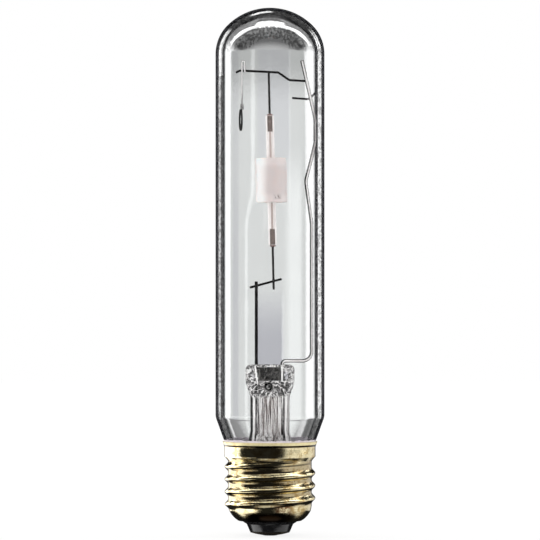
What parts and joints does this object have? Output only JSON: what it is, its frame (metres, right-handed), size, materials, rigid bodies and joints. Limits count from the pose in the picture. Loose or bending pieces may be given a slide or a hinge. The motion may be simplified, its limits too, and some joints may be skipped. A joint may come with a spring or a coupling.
{
  "type": "metal halide lamp",
  "caption": "Clear tubular discharge lamp with a ceramic arc tube held on a wire frame above a glass stem, and a brass screw base with a centre contact.",
  "frame": {"origin": "on the lamp's axis, on the flat end of the centre contact's solder", "axes": "+Z along the lamp's axis from the contact to the dome, +X to the side of the long frame wire, -Y to the side that the picture shows"},
  "size_m": [0.0316, 0.0316, 0.1529],
  "materials": {
    "bulb_glass": "clear, polished",
    "stem_glass": "clear, fire polished",
    "brass": "rolled sheet, bright with handling marks",
    "black_glass": "black, glossy",
    "contact_metal": "pressed plate, dull",
    "solder": "solder, dull grey",
    "cement": "baked cement, matt",
    "frame_metal": "drawn wire, plated",
    "getter_metal": "pressed strip",
    "seal_metal": "drawn wire, dark",
    "lead_metal": "drawn wire, oxidised",
    "arc_ceramic": "sintered, translucent white",
    "frit": "fused, dark brown",
    "arc_lead_metal": "drawn rod",
    "inner_rod_metal": "sintered rod",
    "electrode_metal": "wound wire, dark",
    "halide": "fused beads"
  },
  "bodies": {
    "root": {"outer_bulb": "bulb_glass", "glass_stem": "stem_glass", "exhaust_tube": "stem_glass", "screw_shell": "brass", "base_insulator": "black_glass", "centre_contact": "contact_metal", "contact_solder": "solder", "base_cement": "cement", "frame_wire": "frame_metal", "riser_wire": "frame_metal", "lower_cross_wire": "frame_metal", "upper_cross_wire": "frame_metal", "wall_spring": "frame_metal", "getter_holder": "frame_metal", "getter_ring": "getter_metal", "frame_seal_wire": "seal_metal", "riser_seal_wire": "seal_metal", "centre_lead": "lead_metal", "side_lead": "lead_metal", "arc_barrel": "arc_ceramic", "upper_plug": "arc_ceramic", "lower_plug": "arc_ceramic", "upper_capillary": "arc_ceramic", "lower_capillary": "arc_ceramic", "upper_frit": "frit", "lower_frit": "frit", "upper_lead": "arc_lead_metal", "lower_lead": "arc_lead_metal", "upper_inner_rod": "inner_rod_metal", "lower_inner_rod": "inner_rod_metal", "upper_electrode": "electrode_metal", "lower_electrode": "electrode_metal", "halide_dose": "halide"}
  },
  "joints": []
}
